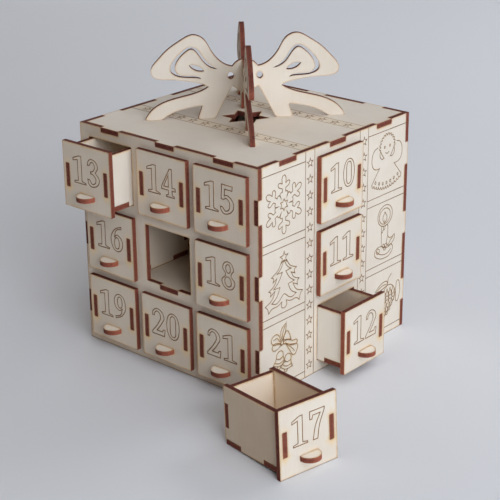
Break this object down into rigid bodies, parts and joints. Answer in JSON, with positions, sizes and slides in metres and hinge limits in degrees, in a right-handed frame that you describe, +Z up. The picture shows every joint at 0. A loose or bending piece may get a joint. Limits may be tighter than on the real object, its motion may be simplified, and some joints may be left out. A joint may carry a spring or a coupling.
{
  "type": "wooden advent calendar",
  "caption": "Plywood gift-box advent calendar: a cube of small sliding drawers with half-round pulls, and a crossed bow on its lid.",
  "frame": {"origin": "middle of the box on the surface that it stands on", "axes": "+Z up; -Y out of the face with drawers 13 to 21; +X out of the face with drawers 10 to 12"},
  "size_m": [0.2333, 0.2165, 0.1987],
  "materials": {
    "box_plywood": "bare birch plywood, laser-cut, with burnt edges",
    "drawer_plywood": "bare birch plywood, laser-cut, with burnt edges"
  },
  "bodies": {
    "box": {"front_panel": "box_plywood", "back_panel": "box_plywood", "left_panel": "box_plywood", "right_panel": "box_plywood", "top_panel": "box_plywood", "bottom_shelf": "box_plywood", "middle_shelf": "box_plywood", "upper_shelf": "box_plywood", "bow_plate_rear": "box_plywood", "bow_plate_front": "box_plywood"},
    "drawer_01": {"drawer_01_front": "drawer_plywood", "drawer_01_tray": "drawer_plywood"},
    "drawer_02": {"drawer_02_front": "drawer_plywood", "drawer_02_tray": "drawer_plywood"},
    "drawer_03": {"drawer_03_front": "drawer_plywood", "drawer_03_tray": "drawer_plywood"},
    "drawer_04": {"drawer_04_front": "drawer_plywood", "drawer_04_tray": "drawer_plywood"},
    "drawer_05": {"drawer_05_front": "drawer_plywood", "drawer_05_tray": "drawer_plywood"},
    "drawer_06": {"drawer_06_front": "drawer_plywood", "drawer_06_tray": "drawer_plywood"},
    "drawer_07": {"drawer_07_front": "drawer_plywood", "drawer_07_tray": "drawer_plywood"},
    "drawer_08": {"drawer_08_front": "drawer_plywood", "drawer_08_tray": "drawer_plywood"},
    "drawer_09": {"drawer_09_front": "drawer_plywood", "drawer_09_tray": "drawer_plywood"},
    "drawer_10": {"drawer_10_front": "drawer_plywood", "drawer_10_tray": "drawer_plywood"},
    "drawer_11": {"drawer_11_front": "drawer_plywood", "drawer_11_tray": "drawer_plywood"},
    "drawer_12": {"drawer_12_front": "drawer_plywood", "drawer_12_tray": "drawer_plywood"},
    "drawer_13": {"drawer_13_front": "drawer_plywood", "drawer_13_tray": "drawer_plywood"},
    "drawer_14": {"drawer_14_front": "drawer_plywood", "drawer_14_tray": "drawer_plywood"},
    "drawer_15": {"drawer_15_front": "drawer_plywood", "drawer_15_tray": "drawer_plywood"},
    "drawer_16": {"drawer_16_front": "drawer_plywood", "drawer_16_tray": "drawer_plywood"},
    "drawer_17": {"drawer_17_front": "drawer_plywood", "drawer_17_tray": "drawer_plywood"},
    "drawer_18": {"drawer_18_front": "drawer_plywood", "drawer_18_tray": "drawer_plywood"},
    "drawer_19": {"drawer_19_front": "drawer_plywood", "drawer_19_tray": "drawer_plywood"},
    "drawer_20": {"drawer_20_front": "drawer_plywood", "drawer_20_tray": "drawer_plywood"},
    "drawer_21": {"drawer_21_front": "drawer_plywood", "drawer_21_tray": "drawer_plywood"},
    "drawer_22": {"drawer_22_front": "drawer_plywood", "drawer_22_tray": "drawer_plywood"},
    "drawer_23": {"drawer_23_front": "drawer_plywood", "drawer_23_tray": "drawer_plywood"},
    "drawer_24": {"drawer_24_front": "drawer_plywood", "drawer_24_tray": "drawer_plywood"}
  },
  "joints": [
    {"name": "drawer_01_slide", "type": "slide", "parent": "box", "child": "drawer_01", "axis": [0, 1, 0], "range_m": [-0.0007, 0.0412]},
    {"name": "drawer_02_slide", "type": "slide", "parent": "box", "child": "drawer_02", "axis": [0, 1, 0], "range_m": [-0.0007, 0.0412]},
    {"name": "drawer_03_slide", "type": "slide", "parent": "box", "child": "drawer_03", "axis": [0, 1, 0], "range_m": [-0.0007, 0.0412]},
    {"name": "drawer_04_slide", "type": "slide", "parent": "box", "child": "drawer_04", "axis": [0, 1, 0], "range_m": [-0.0007, 0.0412]},
    {"name": "drawer_05_slide", "type": "slide", "parent": "box", "child": "drawer_05", "axis": [0, 1, 0], "range_m": [-0.0007, 0.0412]},
    {"name": "drawer_06_slide", "type": "slide", "parent": "box", "child": "drawer_06", "axis": [0, 1, 0], "range_m": [-0.0007, 0.0412]},
    {"name": "drawer_07_slide", "type": "slide", "parent": "box", "child": "drawer_07", "axis": [0, 1, 0], "range_m": [-0.0007, 0.0412]},
    {"name": "drawer_08_slide", "type": "slide", "parent": "box", "child": "drawer_08", "axis": [0, 1, 0], "range_m": [-0.0007, 0.0412]},
    {"name": "drawer_09_slide", "type": "slide", "parent": "box", "child": "drawer_09", "axis": [0, 1, 0], "range_m": [-0.0007, 0.0412]},
    {"name": "drawer_10_slide", "type": "slide", "parent": "box", "child": "drawer_10", "axis": [1, 0, 0], "range_m": [-0.0007, 0.0412]},
    {"name": "drawer_11_slide", "type": "slide", "parent": "box", "child": "drawer_11", "axis": [1, 0, 0], "range_m": [-0.0007, 0.0412]},
    {"name": "drawer_12_slide", "type": "slide", "parent": "box", "child": "drawer_12", "axis": [1, 0, 0], "range_m": [-0.0195, 0.0224]},
    {"name": "drawer_13_slide", "type": "slide", "parent": "box", "child": "drawer_13", "axis": [0, -1, 0], "range_m": [-0.0173, 0.0246]},
    {"name": "drawer_14_slide", "type": "slide", "parent": "box", "child": "drawer_14", "axis": [0, -1, 0], "range_m": [-0.0007, 0.0412]},
    {"name": "drawer_15_slide", "type": "slide", "parent": "box", "child": "drawer_15", "axis": [0, -1, 0], "range_m": [-0.0007, 0.0412]},
    {"name": "drawer_16_slide", "type": "slide", "parent": "box", "child": "drawer_16", "axis": [0, -1, 0], "range_m": [-0.0007, 0.0412]},
    {"name": "drawer_17_slide", "type": "slide", "parent": "box", "child": "drawer_17", "axis": [0.9816, -0.1908, 0], "range_m": [-0.015, 0.05]},
    {"name": "drawer_18_slide", "type": "slide", "parent": "box", "child": "drawer_18", "axis": [0, -1, 0], "range_m": [-0.0007, 0.0412]},
    {"name": "drawer_19_slide", "type": "slide", "parent": "box", "child": "drawer_19", "axis": [0, -1, 0], "range_m": [-0.0007, 0.0412]},
    {"name": "drawer_20_slide", "type": "slide", "parent": "box", "child": "drawer_20", "axis": [0, -1, 0], "range_m": [-0.0007, 0.0412]},
    {"name": "drawer_21_slide", "type": "slide", "parent": "box", "child": "drawer_21", "axis": [0, -1, 0], "range_m": [-0.0007, 0.0412]},
    {"name": "drawer_22_slide", "type": "slide", "parent": "box", "child": "drawer_22", "axis": [-1, 0, 0], "range_m": [-0.0007, 0.0412]},
    {"name": "drawer_23_slide", "type": "slide", "parent": "box", "child": "drawer_23", "axis": [-1, 0, 0], "range_m": [-0.0007, 0.0412]},
    {"name": "drawer_24_slide", "type": "slide", "parent": "box", "child": "drawer_24", "axis": [-1, 0, 0], "range_m": [-0.0007, 0.0412]}
  ]
}
